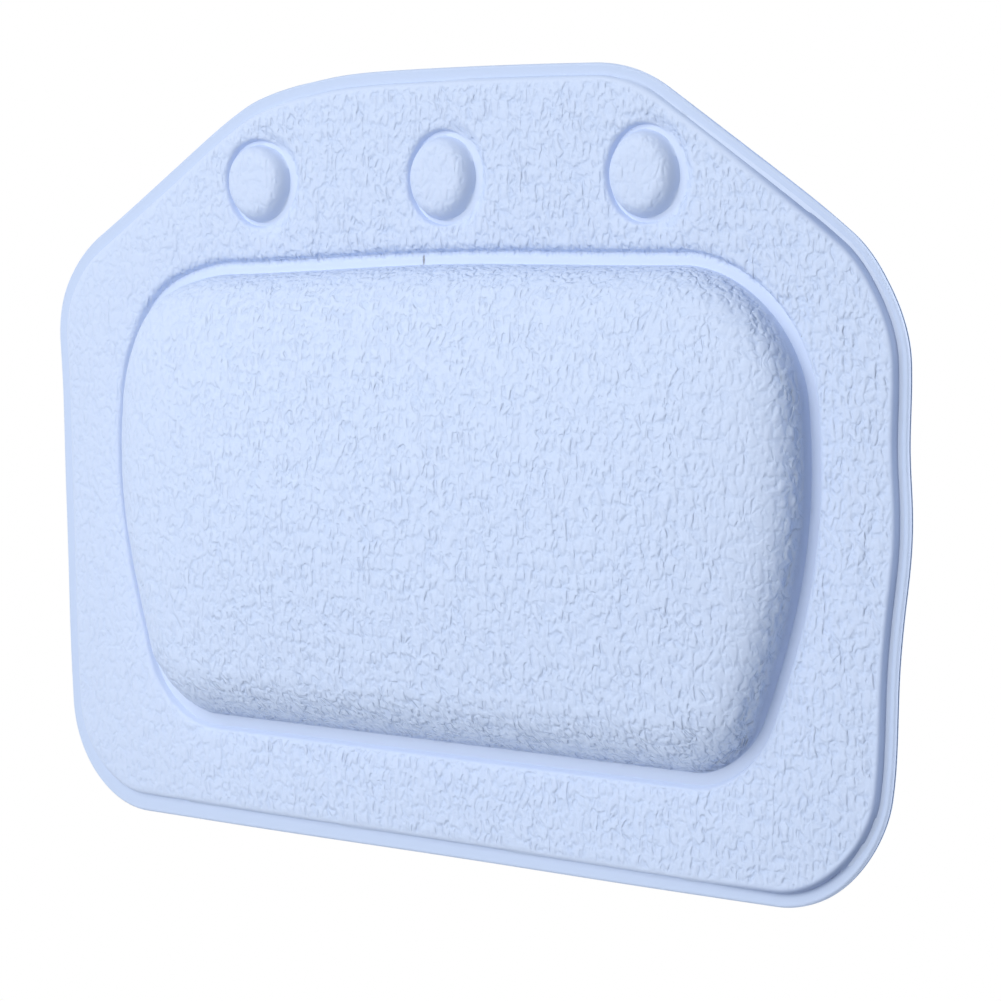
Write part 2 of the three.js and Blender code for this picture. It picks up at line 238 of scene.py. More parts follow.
def pressed_sheet():
    """A flat sheet of square cells as wide as the headrest, pinned along its seam."""
    deselect_all()
    reach = panel.points.max(axis=0) - panel.points.min(axis=0)
    middle = (panel.points.max(axis=0) + panel.points.min(axis=0)) / 2
    cells = np.ceil(reach / CLOTH_CELL).astype(int)
    bpy.ops.mesh.primitive_grid_add(
        x_subdivisions=int(cells[0]), y_subdivisions=int(cells[1]), size=1,
        location=(middle[0], 0, middle[1]), rotation=(math.pi / 2, 0, 0),
    )
    sheet = bpy.context.object
    sheet.scale = (reach[0], reach[1], 1)
    bpy.ops.object.transform_apply(location=True, rotation=True, scale=True)
    plan = np.array([(v.co.x, v.co.z) for v in sheet.data.vertices])
    depth, normals = panel.depth(plan)
    depth -= PANEL_WELD
    snapped = np.abs(depth) < SNAP
    plan[snapped] += depth[snapped, None] * normals[snapped]
    for vertex, place in zip(sheet.data.vertices, plan):
        vertex.co = (place[0], 0, place[1])
    pins = sheet.vertex_groups.new(name="seam")
    pins.add(np.flatnonzero(snapped | (depth < 0)).tolist(), 1, "REPLACE")
    form = bmesh.new()
    form.from_mesh(sheet.data)
    form.verts.ensure_lookup_table()
    outside = [form.verts[i] for i in np.flatnonzero((depth < 0) & ~snapped)]
    bmesh.ops.delete(form, geom=outside, context="VERTS")
    form.to_mesh(sheet.data)
    form.free()
    return sheet


def blown_crown():
    """A function that gives the crown's rise at points of the plan, from a cloth simulation."""
    sheet = pressed_sheet()
    cloth = sheet.modifiers.new("swelling", "CLOTH")
    cloth.settings.quality = 8
    cloth.settings.air_damping = 10
    cloth.settings.tension_damping = cloth.settings.compression_damping = 25
    cloth.settings.vertex_group_mass = "seam"
    cloth.settings.use_pressure = True
    cloth.settings.uniform_pressure_force = CLOTH_PRESSURE
    cloth.settings.effector_weights.gravity = 0
    for step in range(1, CLOTH_FRAMES + 1):
        bpy.context.scene.frame_set(step)
    bpy.context.view_layer.objects.active = sheet
    bpy.ops.object.modifier_apply(modifier=cloth.name)
    bpy.context.scene.frame_set(1)
    smooth = sheet.modifiers.new("finer", "SUBSURF")
    smooth.levels = smooth.render_levels = 2
    bpy.ops.object.modifier_apply(modifier=smooth.name)
    heights = np.array([-v.co.y for v in sheet.data.vertices])
    print("the sheet rose", round(heights.max() / MM, 2), "mm before it was scaled")
    tree = BVHTree.FromPolygons(
        [v.co.copy() for v in sheet.data.vertices], [tuple(f.vertices) for f in sheet.data.polygons]
    )
    bpy.data.objects.remove(sheet)

    def crown(plan):
        rise = np.zeros(len(plan))
        for i, (x, z) in enumerate(plan.tolist()):
            hit = tree.ray_cast((x, -FAR, z), (0, 1, 0))[0]
            if hit is None:
                hit = tree.find_nearest((x, 0, z))[0]
            rise[i] = -hit.y
        return CROWN_RISE * np.clip(rise / heights.max(), 0, 1)

    return crown


crown_rise = blown_crown()
over_seam = np.stack([np.zeros(5), PANEL_FOOT + PANEL_WELD + np.linspace(0, 20 * MM, 5)], axis=1)
print("crown over the foot in mm", (crown_rise(over_seam) / MM).round(2))

# %% [markdown]
# ## The front skin's form
# The rise of the skin at a point follows from the depths of that point inside the rim and the
# headrest's seam and from its distance to the nearest button. The foam and the skin's own inner
# face take the same rule at a depth under the outer face, so nothing inside touches the skin.

# %% Rise of the skin over the plan
LIP_RISE = 0.06 * MM  # of the fine beads that the weld squeezes up
LIP_WIDTH = 0.35 * MM
CLIMB_POWER = 2.3
BOXY_RIM = 1.7  # added to that power along the rim on the right
EDGE_ROUNDING = 0.4 * MM  # of the trimmed rim
FLANGE_TAPER = 0.25  # the rim was cut off centre, so its weld is wider on the left by this share
FOOT_TAPER = 0.24  # and at the foot by this one
FOOT_BAND = (8 * MM, 34 * MM)  # height over the foot over which that fades out
NUDGE = 1 * MM  # a step to the right, which tells the two sides of a button apart
FORM_TURN = (0.3, 0.95)  # how far a normal points to a side before that side's form holds
SIDE_SAMPLES = 400


def climb(share, power=CLIMB_POWER):
    """A rounded edge, from 0 at its foot to 1, a little boxier than a quarter circle."""
    return (1 - (1 - np.clip(share, 0, 1)) ** power) ** (1 / power)


def bead(distance):
    """A fine raised line where distance is zero."""
    return LIP_RISE * np.exp(-((distance / LIP_WIDTH) ** 2))


def edge_form(normals):
    """Start and power of the steep side: boxy to the right, rounder to the left and at the foot."""
    form = np.array(EDGE_FORMS["head"]) + np.zeros((len(normals), 2))
    for name, way in (("right", normals[:, 0]), ("left", -normals[:, 0]), ("foot", -normals[:, 1])):
        share = ramp(way, *FORM_TURN)[:, None]
        form += share * (np.array(EDGE_FORMS[name]) - EDGE_FORMS["head"])
    return form.T


def steep_side(inset, form=EDGE_FORMS["right"]):
    """The headrest's steep side, from 0 at the seam to 1 where the crown takes over."""
    start, power = form
    share = np.clip(1 - inset / EDGE_REACH, 0, 1) ** (1 / power)
    angle = np.arccos(np.clip(np.cos(start) * share, 0, 1))
    foot = np.sin(start) ** power
    return np.clip((np.sin(angle) ** power - foot) / (1 - foot), 0, 1)


def steep_run():
    """Insets of the steep side and how far each is from the seam along the skin."""
    start, power = EDGE_FORMS["right"]
    angle = np.linspace(start, math.pi / 2, SIDE_SAMPLES)
    inset = EDGE_REACH * (1 - (np.cos(angle) / math.cos(start)) ** power)
    height = (EDGE_RISE - WELD) * steep_side(inset)
    run = np.concatenate([[0], np.cumsum(np.hypot(np.diff(inset), np.diff(height)))])
    return inset, run


class Plan:
    """Points of the plan with what the skin's form needs to know of them."""

    def __init__(self, points):
        self.points = points
        self.in_rim = rim.depth(points)[0]
        self.in_panel, self.panel_normals = panel.depth(points)
        self.form = edge_form(self.panel_normals)
        self.off_button = off_buttons(points)
        self.off_dome = off_buttons(points + (BUTTON_SHIFT, 0))
        farther = off_buttons(points + (NUDGE, 0)) - self.off_button
        self.right_of_button = ramp(farther, -0.1 * NUDGE, 0.8 * NUDGE)
        x, z = points.T
        footwards = 1 - ramp(z, FOOT + FOOT_BAND[0], FOOT + FOOT_BAND[1])
        self.flange = FLANGE * (1 - FLANGE_TAPER * x / HALF_WIDTH + FOOT_TAPER * footwards)
        self.rim_power = CLIMB_POWER + BOXY_RIM * ramp(x, *RIGHT_SIDE)
        self.crown = np.zeros(len(points))
        inside = self.in_panel > PANEL_WELD
        self.crown[inside] = crown_rise(points[inside])

    def pit_side(self, distance):
        """The side of a button's pit: a rounded edge on the left and a slow rise on the right."""
        slow = self.right_of_button
        return (1 - slow) * climb(distance / PIT_ROUNDING) + slow * ramp(distance, 0, PIT_SLOPE)

    def rise(self, under=0.0):
        """How far the form stands out, at a depth under its outer face."""
        inland = np.minimum.reduce([
            self.in_rim - self.flange, -self.in_panel, self.off_button - BUTTON_WELD,
        ]) - under
        edge = np.minimum.reduce([
            climb((self.in_rim - self.flange - under) / ROUNDING, self.rim_power),
            climb((-self.in_panel - under) / PANEL_ROUNDING),
            self.pit_side(self.off_button - BUTTON_WELD - under),
        ])
        swell = BORDER_SWELL * (1 - np.exp(-np.clip(inland, 0, None) / SWELL_REACH))
        border = (BORDER_RISE - BORDER_SWELL - WELD) * edge + swell
        inset = self.in_panel - PANEL_WELD - under
        side = (EDGE_RISE - WELD) * steep_side(inset, self.form)
        headrest = np.where(inset > 0, side + self.crown, 0)
        share = np.clip(self.off_dome / (BUTTON_RADIUS - under), 0, 1)
        button = (BUTTON_RISE - WELD) * (1 - share**BUTTON_POWER)
        return WELD - under + np.maximum.reduce([border, headrest, button])

    def beads(self):
        """The fine lines along the seams of the outer face."""
        worn = WELD / 2 * (1 - climb(self.in_rim / EDGE_ROUNDING))
        lines = bead(self.in_rim - 2 * LIP_WIDTH) + bead(self.in_rim - self.flange + LIP_WIDTH)
        seam = bead(self.in_panel - LIP_WIDTH) + bead(self.in_panel - PANEL_WELD + LIP_WIDTH)
        return lines - worn - 0.7 * seam


def lattice(step):
    """Points of the plan on a grid of even triangles."""
    width, height = 2 * HALF_WIDTH, TOP - FOOT + 4 * MM
    columns, rows = int(width / step) + 2, int(height / (step * math.sqrt(0.75))) + 2
    column, row = np.meshgrid(np.arange(columns), np.arange(rows))
    x = -HALF_WIDTH + (column + row % 2 / 2) * step
    z = FOOT + row * step * math.sqrt(0.75)
    return np.stack([x.ravel(), z.ravel()], axis=1)


def circle(x, radius, step):
    """Points every step round a button's centre."""
    count = max(6, round(2 * math.pi * radius / step))
    angle = np.arange(count) * 2 * math.pi / count
    return np.stack([x + radius * np.cos(angle), radius * np.sin(angle)], axis=1)


def triangles(points):
    """Triangles between points of the plan, anticlockwise as seen from the front."""
    flat = [Vector(p) for p in points.tolist()]
    places, _, faces = delaunay_2d_cdt(flat, [], [], 0, 1e-8, False)[:3]
    assert len(places) == len(points), "two points of the plan coincide"
    return np.array(faces)


# %% [markdown]
# ## Points of the skin
# The skin is drawn with rows of points that run along each seam, close together where the form
# is steep, and an even lattice between the rows. Triangles between them follow every seam
# exactly, which a square grid or a remesh would blur.

# %% Place the skin's points
ROW = 0.38 * MM  # between rows where the form turns fast
RIM_BAND = 8.4 * MM
PANEL_BAND = 4.2 * MM  # outside the headrest's seam
PIT_BAND = BUTTON_WELD + PIT_ROUNDING + 0.8 * MM
STEEP_ROWS = 34
CLOSEST = 0.12 * MM  # between rows, as seen on the plan
CLEAR = 0.6 * SPACING  # between the rows and the lattice

rim_rows = [rim.inset(depth) for depth in np.arange(0, RIM_BAND, ROW)]
weld_rows = [panel.inset(depth) for depth in np.arange(-PANEL_BAND, PANEL_WELD + ROW / 2, ROW)]
inset, run = steep_run()
steep_insets = np.interp(np.linspace(0, run[-1], STEEP_ROWS + 1)[1:], run, inset)
steep_insets = np.maximum(steep_insets, CLOSEST * np.arange(1, STEEP_ROWS + 1))
steep_rows = [panel.inset(PANEL_WELD + reach) for reach in steep_insets]
pit_rows = [
    circle(x, radius, SPACING)
    for x in CUP_XS.values()
    for radius in np.arange(BUTTON_RADIUS - DOME_RIM, PIT_BAND, ROW)
]

filling = lattice(SPACING)
in_rim = rim.depth(filling)[0]
in_panel = panel.depth(filling)[0]
off_button = off_buttons(filling)
outside = (in_panel < -PANEL_BAND - CLEAR) & (off_button > PIT_BAND + CLEAR)
on_crown = in_panel > PANEL_WELD + EDGE_REACH + CLEAR
on_dome = off_button < BUTTON_RADIUS - DOME_RIM - CLEAR
filling = filling[(in_rim > RIM_BAND + CLEAR) & (outside | on_crown | on_dome)]

rim_band = np.vstack(rim_rows[1:])
rim_band = rim_band[off_buttons(rim_band) > PIT_BAND + CLEAR]
skin_points = np.vstack([rim_rows[0], rim_band, *weld_rows, *steep_rows, *pit_rows, filling])
skin_faces = triangles(skin_points)
skin = Plan(skin_points)
print("the front face has", len(skin_points), "points and", len(skin_faces), "triangles")

# %% [markdown]
# ## Grain
# The sheet is embossed like leather: rounded pebbles about two and a half millimetres wide with
# narrow, partly broken valleys between them. The valleys are finer than the mesh, so the material
# cuts them. The mesh carries the soft swellings of the grain, as a field of waves of about one
# length that run in all directions, and a measure of how strongly the grain shows. It is coarser
# at the foot of the headrest's right and lower sides, and the welds press it flat.

# %% Field of the grain
SWELLING = 0.07 * MM
SWELLING_LENGTH = 6 * MM
COARSE_SWELLING = 0.17 * MM  # at the foot of the headrest's right and lower sides
COARSE_LENGTH = 3.4 * MM
PATCH_LENGTH = 14 * MM  # of patches where the grain is stronger or weaker
GRAIN_TALL = 1.25  # pebbles stand taller than they are wide
GRAIN_FADES = {  # distances over which the grain comes in
    "rim": (0.6 * MM, 2.6 * MM),  # from the rim's weld
    "seam": (0.3 * MM, 1.8 * MM),  # from the headrest's seam outwards
    "pit": (0.1 * MM, 1.3 * MM),  # from a button's seam outwards
    "side": (0, 0.3 * MM),  # from the headrest's seam inwards
    "dome": (0.6 * MM, 2.4 * MM),  # from a dome's edge inwards
    "right": (0, 110 * MM),  # from the middle to the right
    "left": (50 * MM, 150 * MM),  # from the middle to the left
    "brow": (100 * MM, 116 * MM),  # the same, where the crown ends
    "inland": (2 * MM, 5 * MM),
    "coarse": (0.1 * MM, 0.6 * MM),
    "coarse_end": (0.8 * MM, 3 * MM),
}
GRAIN_SHARES = {"all": 0.95, "right": -0.08, "left": -0.42, "lower": 0.4, "brow": -0.22, "dome": 0.5}
WORN_SEAM = 2.4 * MM  # the grain reaches this much nearer to the headrest's upper seam


def waves(points, length, seed, tall=GRAIN_TALL, count=64):
    """A field of waves of about one length, with a spread of one about zero."""
    draw = np.random.default_rng(seed)
    heading = draw.uniform(0, 2 * math.pi, count)
    pitch = 2 * math.pi / length * draw.uniform(0.75, 1.3, count)
    start = draw.uniform(0, 2 * math.pi, count)
    field = np.zeros(len(points))
    for h, k, s in zip(heading, pitch, start):
        field += np.cos(k * (points[:, 0] * math.cos(h) + points[:, 1] / tall * math.sin(h)) + s)
    return field * math.sqrt(2 / count)


def unrolled(plan):
    """Points of the plan with the headrest's steep side laid out flat, for the grain."""
    inset, run = steep_run()
    at = np.interp(plan.in_panel - PANEL_WELD, inset, run[-1] - run - (EDGE_REACH - inset))
    shift = np.where(plan.in_panel > PANEL_WELD, at, 0)
    return plan.points + shift[:, None] * plan.panel_normals


def fade(distance, name):
    """From 0 to 1 over one of the distances over which the grain comes in."""
    return ramp(distance, *GRAIN_FADES[name])


def grain_amount(plan):
    """How strongly the grain shows: not on the welds, less to the left, more low on the headrest."""
    x, z = plan.points.T
    inset = plan.in_panel - PANEL_WELD
    to_seam = -plan.in_panel + WORN_SEAM * ramp(z, PANEL_HEAD - 30 * MM, PANEL_HEAD)
    border = fade(plan.in_rim - plan.flange, "rim") * fade(to_seam, "seam")
    border *= fade(plan.off_button - BUTTON_WELD, "pit")
    headrest = fade(inset, "side")
    button = GRAIN_SHARES["dome"] * fade(BUTTON_RADIUS - plan.off_dome, "dome")
    low = ramp(-z, -PANEL_FOOT - 25 * MM, -PANEL_FOOT - 15 * MM)
    where = {
        "right": fade(x, "right") * np.where(inset > 0, 1, 0.4),
        "left": fade(-x, "left"),
        "lower": headrest * (ramp(-inset, -16 * MM, -7 * MM) * low),
        "brow": fade(x, "brow") * fade(inset, "inland"),
    }
    strength = GRAIN_SHARES["all"] + sum(GRAIN_SHARES[name] * share for name, share in where.items())
    return np.maximum.reduce([border, headrest, button]) * strength


flat = unrolled(skin)
inset = skin.in_panel - PANEL_WELD
turned_away = ramp(skin.panel_normals[:, 0] - 0.6 * skin.panel_normals[:, 1], 0.3, 1.0)
coarse = turned_away * fade(inset, "coarse") * (1 - fade(inset, "coarse_end"))
patches = 0.75 + 0.25 * ramp(waves(flat, PATCH_LENGTH, seed=5), -1.2, 1.2)
amount = grain_amount(skin) * patches * (1 + 0.5 * coarse)
grain = SWELLING * amount * (waves(flat, SWELLING_LENGTH, seed=11) - 1)
grain += COARSE_SWELLING * coarse * (waves(flat, COARSE_LENGTH, seed=31) - 0.4)
print("grain from", round(grain.min() / MM, 3), "to", round(grain.max() / MM, 3), "mm")

# %% [markdown]
# ## Closing the skin
# A skin has thickness, so its body has an outer face, an inner face and a rim between them. The
# inner face needs few points, because nobody sees it, but it shares the rim's points with the
# outer one, and quads between the two close the body. The skins and the foam of the pillow also
# sag and wander a little in the same way, as a soft thing does that has lain in its bag.


# %% Helpers that make bodies
def normals_of(places, faces):
    """A unit normal at each point of a surface of triangles."""
    a, b, c = (places[faces[:, k]] for k in range(3))
    cross = np.cross(b - a, c - a)
    total = np.stack([
        sum(np.bincount(faces[:, k], cross[:, axis], len(places)) for k in range(3))
        for axis in range(3)
    ], axis=1)
    return total / np.maximum(np.linalg.norm(total, axis=1), 1e-20)[:, None]


def placed(points, rise):
    """Places in the frame of points of the plan with their rise."""
    return np.stack([points[:, 0], PLANE - rise, points[:, 1]], axis=1)


TRIM_SHIFT = 1.5 * MM  # the rim was cut this much too far to the left
SEAM_TILT = 0.0165  # rise to the right of the headrest's upper seam
SEAM_BOW = 1.9 * MM
RIM_WAVE = 0.9 * MM  # the rim's right side wanders in and out by this
RIM_TUCK = 1.3 * MM  # and stands in by this at the foot
RIM_SAG = 0.8 * MM
PUSHES = [  # X, height over the foot, reach in both, and how far it is pushed there, all in mm
    (-160, 163, 22, 22, -2.2, 0.6),
    (158, 168, 22, 22, -1.6, -1.2),
    (-66, 228, 20, 20, 0.6, -2.6),
    (-113, 161, 17, 17, -3.6, 2.0),
    (-163, 82, 30, 30, 1.3, 0),
    (165, 128, 32, 32, -0.8, 0),
    (-112, 45, 18, 18, -1.3, 0),
    (-134, 100, 16, 55, -1.4, 0),
]


def settled(places):
    """Places after the pillow was cut off centre and was pushed a little as it lay."""
    x, z = places[:, 0], places[:, 2] - FOOT
    depth = rim.depth(places[:, [0, 2]])[0]
    loose = 1 - ramp(depth, 2 * MM, 26 * MM)
    low_side = 1 - ramp(z, 110 * MM, 150 * MM)
    wave = RIM_WAVE * np.sin(2 * math.pi * (z - 87 * MM) / (62 * MM)) * low_side
    tucked = RIM_TUCK * (1 - ramp(z, 42 * MM, 78 * MM))
    by_seam = ramp(z, 120 * MM, 168 * MM) * (1 - ramp(z, 178 * MM, 184 * MM)) * (1 - loose)
    sag = 0.5 * np.sin(x / (23 * MM) + 1.3) * low_side
    sag += 0.35 * np.sin(z / (17 * MM)) * ramp(np.abs(x), 90 * MM, 130 * MM)
    moved = places.copy()
    moved[:, 0] += loose * ((wave - tucked) * ramp(x, *RIGHT_SIDE) - TRIM_SHIFT)
    moved[:, 1] += RIM_SAG * loose * sag
    bow = SEAM_BOW * (np.exp(-((x / (60 * MM)) ** 2)) - 0.3)
    moved[:, 2] += (SEAM_TILT * x + bow) * by_seam
    for at_x, at_z, wide, high, dx, dz in PUSHES:
        push = np.exp(-(((x / MM - at_x) / wide) ** 2) - ((z / MM - at_z) / high) ** 2)
        moved[:, 0] += dx * MM * push
        moved[:, 2] += dz * MM * push
    return moved


def shaded(piece, degrees):
    """Shades a piece smooth, apart from edges sharper than an angle."""
    deselect_all()
    piece.select_set(True)
    bpy.context.view_layer.objects.active = piece
    bpy.ops.object.shade_smooth_by_angle(angle=math.radians(degrees))
    return piece


def body_between(name, front, front_faces, back, back_faces):
    """A closed body of a front and a back surface that share the points of their edges."""
    count = len(front)
    edges = np.concatenate([front_faces[:, [0, 1]], front_faces[:, [1, 2]], front_faces[:, [2, 0]]])
    key = edges.min(axis=1) * count + edges.max(axis=1)
    _, first, uses = np.unique(key, return_index=True, return_counts=True)
    border = edges[first[uses == 1]]
    start, end = border.T
    sides = np.stack([start, start + count, end + count, end], axis=1)
    faces = front_faces.tolist() + (back_faces[:, ::-1] + count).tolist() + sides.tolist()
    mesh = bpy.data.meshes.new(name)
    mesh.from_pydata(np.vstack([front, back]).tolist(), [], faces)
    mesh.update()
    piece = bpy.data.objects.new(name, mesh)
    bpy.context.scene.collection.objects.link(piece)
    return shaded(piece, 50)


def keep_field(piece, name, values):
    """Keeps a field of the front face on the mesh, for the material."""
    field = np.zeros(len(piece.data.vertices), np.float32)
    field[: len(values)] = values
    piece.data.attributes.new(name, "FLOAT", "POINT").data.foreach_set("value", field)


# %% Build the front cover
outer = placed(skin_points, skin.rise() + skin.beads())
outer += normals_of(outer, skin_faces) * grain[:, None]

INNER_STEP = 3.2 * MM
INNER_BAND = 2 * MM  # inside the headrest's seam, where the inner face has rows of its own
RIM_SHADE_WIDTH = 0.9 * MM  # width of the painted shade along the right foot of the border
SIDE_SHADE_HEIGHT = 3.5 * MM  # height up the headrest's foot to which shade is painted
inner_rows = [
    evenly(rim.inset(FLANGE + SKIN + reach), INNER_STEP) for reach in (0, ROUNDING / 3, ROUNDING)
]
outward = (SKIN + PANEL_ROUNDING, SKIN + 1 * MM, SKIN)
inner_seam = [
    evenly(panel.inset(reach), INNER_STEP / 2)
    for reach in (*(-far for far in outward), PANEL_WELD + SKIN, PANEL_WELD + INNER_BAND)
]
pit_radii = [BUTTON_RADIUS - reach for reach in (DOME_RIM, SKIN)]
pit_radii += [BUTTON_WELD + reach for reach in (SKIN, PIT_ROUNDING)]
inner_pits = [circle(x, radius, INNER_STEP / 2) for x in CUP_XS.values() for radius in pit_radii]
inner_fill = lattice(INNER_STEP)
inner_depth = rim.depth(inner_fill)[0]
in_panel = panel.depth(inner_fill)[0]
off_seam = np.maximum(-outward[0] - in_panel, in_panel - PANEL_WELD - INNER_BAND) > INNER_STEP / 2
inner_fill = inner_fill[off_seam & (inner_depth > FLANGE + SKIN + ROUNDING + INNER_STEP / 2)]
inner_points = np.vstack([rim_rows[0], *inner_rows, *inner_seam, *inner_pits, inner_fill])
inner = Plan(inner_points)
inner_rise = np.clip(inner.rise(SKIN), 0, None)
inner_rise[inner.in_rim < inner.flange + SKIN] = 0
inner_face = settled(placed(inner_points, inner_rise))

front_cover = body_between(
    "front_cover_skin", settled(outer), skin_faces, inner_face, triangles(inner_points)
)
from_flange = skin.in_rim - skin.flange
# shade painted along the right foot of the border and along the foot of the headrest's sides that
# turn away from the light
rim_foot_shade = np.exp(-(((from_flange - 0.3 * MM) / RIM_SHADE_WIDTH) ** 2))
rim_foot_shade *= ramp(skin.points[:, 0], 90 * MM, 140 * MM)
side_foot_shade = turned_away * (inset > 0) * np.exp(-(((skin.rise() - WELD) / SIDE_SHADE_HEIGHT) ** 2))
keep_field(front_cover, "grain_amount", amount)
keep_field(front_cover, "stretched", ramp(inset, 0, 3 * MM))
keep_field(front_cover, "flange", 1 - ramp(from_flange, -0.3 * MM, 0.5 * MM))
# the painted shade along those feet
keep_field(front_cover, "crease", rim_foot_shade + 0.7 * side_foot_shade)
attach(front_cover, "pillow")
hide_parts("front_cover")
print("front cover", len(front_cover.data.polygons), "faces")

# %% [markdown]
# ## The back sheet
# A plain sheet is welded on behind. The weld tool leaves the seams of the headrest and buttons
# pressed into it as shallow furrows, and the foam bulges it a little between them. It is drawn
# from the same seam lines as the front, with coarser rows, and has a hole for the neck of each
# cup.

# %% Build the back sheet
BACK_SHEET = 0.8 * MM
SEAM_PRINT = 0.22 * MM  # depth of the pressed seams
BULGE = 0.25 * MM
NECK_HOLE = 3.6 * MM  # wide enough where the sagging sheet moves it a little off the cup's axis
BACK_STEP = 1.6 * MM
BACK_ROW = 0.55 * MM
RIM_ROWS = (0.4 * MM, 6 * MM)  # depth inside the rim of the first and the last row
PANEL_ROWS = (-3 * MM, 7 * MM)
BUTTON_ROWS = (9 * MM, 16 * MM)
BACK_CLEAR = (0.4 * MM, 0.6 * MM, 0.8 * MM)  # between those rows and the lattice
PRINT_FADE = (0.5 * MM, 0.6 * MM)  # width of a furrow's edge outside and inside its seam
BULGE_FADE = (2 * MM, 14 * MM)  # distance from the seams over which the sheet bulges
EDGE_WEAR = 0.25 * MM

back_rows = [evenly(rim.points, BACK_STEP / 2)]
for seam, reach in ((rim, RIM_ROWS), (panel, PANEL_ROWS)):
    back_rows += [evenly(seam.inset(depth), BACK_STEP) for depth in np.arange(*reach, BACK_ROW)]
hole_rows = [NECK_HOLE, NECK_HOLE + 0.4 * MM, 5 * MM, 7 * MM, *np.arange(*BUTTON_ROWS, BACK_ROW)]
back_rows += [circle(x, radius, BACK_STEP / 2) for x in CUP_XS.values() for radius in hole_rows]
back_fill = lattice(BACK_STEP)
in_panel = panel.depth(back_fill)[0]
free = rim.depth(back_fill)[0] > RIM_ROWS[1] + BACK_CLEAR[0]
free &= (in_panel < PANEL_ROWS[0] - BACK_CLEAR[1]) | (in_panel > PANEL_ROWS[1] + BACK_CLEAR[1])
free &= off_buttons(back_fill) > BUTTON_ROWS[1] + BACK_CLEAR[2]
back_points = np.vstack([*back_rows, back_fill[free]])
back_faces = triangles(back_points)
back_faces = back_faces[off_buttons(back_points[back_faces].mean(axis=1)) > NECK_HOLE]
back_plan = Plan(back_points)


def passed(depth, start):
    """One where the depth is past a seam's edge, with a soft fade."""
    return ramp(depth, start - PRINT_FADE[0], start + PRINT_FADE[1])


def within(depth, start, end):
    """One where the depth lies between two edges."""
    return passed(depth, start) * passed(-depth, -end)


printed = np.maximum.reduce([
    within(back_plan.in_panel, 0, PANEL_WELD),
    within(back_plan.off_button, BUTTON_RADIUS, BUTTON_WELD),
    passed(-back_plan.in_rim, -FLANGE),
])
from_seams = np.minimum.reduce([
    np.abs(back_plan.in_panel - PANEL_WELD / 2),
    back_plan.in_rim - FLANGE,
    back_plan.off_button - BUTTON_WELD,
])
bulge = BULGE * ramp(from_seams, *BULGE_FADE)
worn = EDGE_WEAR * (1 - climb(back_plan.in_rim / EDGE_ROUNDING))
sheet_front = settled(placed(back_points, -GAP - worn))
sheet_back = settled(placed(back_points, -GAP - BACK_SHEET - bulge + SEAM_PRINT * printed + worn))
back_cover = body_between("back_cover_sheet", sheet_front, back_faces, sheet_back, back_faces)
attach(back_cover, "pillow")
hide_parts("back_cover")
print("back sheet", len(back_cover.data.polygons), "faces")

# %% [markdown]
# ## Foam
# A block of open sponge fills the headrest, a thin sheet of it fills the border, and a disc fills
# each button. Nobody sees them in a whole pillow, but they are what makes it soft, and each is
# cut to the space that the skin leaves it.

# %% Build the headrest's sponge and the border's sheet
FOAM_STEP = 3 * MM
UNDER = SKIN + GAP  # from the skin's outer face to the foam
THIN = 0.1 * MM  # thickness that is left at the foam's edges


def foam(name, points, faces, node):
    """A piece of foam with a flat back, cut to the space under the skin."""
    rise = np.clip(Plan(points).rise(UNDER), THIN, None)
    front, back = placed(points, rise), placed(points, np.zeros(len(points)))
    piece = body_between(name, settled(front), faces, settled(back), faces)
    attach(piece, "pillow")
    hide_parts(node)
    print(name, len(piece.data.polygons), "faces")
    return piece


core_edge = PANEL_WELD + UNDER
core_rows = [
    evenly(panel.inset(core_edge + EDGE_REACH * (1 - math.cos(angle))), FOAM_STEP)
    for angle in np.linspace(0.01, math.pi / 2, 9)
]
core_fill = lattice(FOAM_STEP)
core_fill = core_fill[panel.depth(core_fill)[0] > core_edge + EDGE_REACH + FOAM_STEP / 2]
core_points = np.vstack([*core_rows, core_fill])
headrest_core = foam("headrest_sponge", core_points, triangles(core_points), "headrest_core")

WIDE_FLANGE = FLANGE * (1 + FLANGE_TAPER)
OFF_CUT = 0.01 * MM  # keeps the first row just off the line along which the foam is cut
border_rows = [
    evenly(seam.inset(start + way * reach), FOAM_STEP)
    for seam, start, way in ((rim, WIDE_FLANGE + UNDER, 1), (panel, -UNDER, -1))
    for reach in (OFF_CUT, 0.8 * MM, ROUNDING)
]
border_rows += [
    circle(x, BUTTON_WELD + UNDER + reach, FOAM_STEP / 2)
    for x in CUP_XS.values()
    for reach in (OFF_CUT, 0.6 * MM, PIT_ROUNDING)
]
border_fill = lattice(FOAM_STEP)
inland = np.minimum.reduce([
    rim.depth(border_fill)[0] - WIDE_FLANGE - ROUNDING,
    -panel.depth(border_fill)[0] - ROUNDING,
    off_buttons(border_fill) - BUTTON_WELD - PIT_ROUNDING,
])
border_fill = border_fill[inland > UNDER + FOAM_STEP / 3]
border_points = np.vstack([*border_rows, border_fill])
border_faces = triangles(border_points)
centres = border_points[border_faces].mean(axis=1)
cut = (panel.depth(centres)[0] > -UNDER) | (off_buttons(centres) < BUTTON_WELD + UNDER)
border_padding = foam("border_foam", border_points, border_faces[~cut], "border_padding")

# %% [markdown]
# ## Turned pieces
# The cups, the washers and the discs of foam are round, so each is drawn as a lathe would turn
# it: a circle is extruded from ring to ring of its profile. A small bevel then softens the edges,
# as a mould does.

# %% Turn a profile
ROUND_STEPS = 72


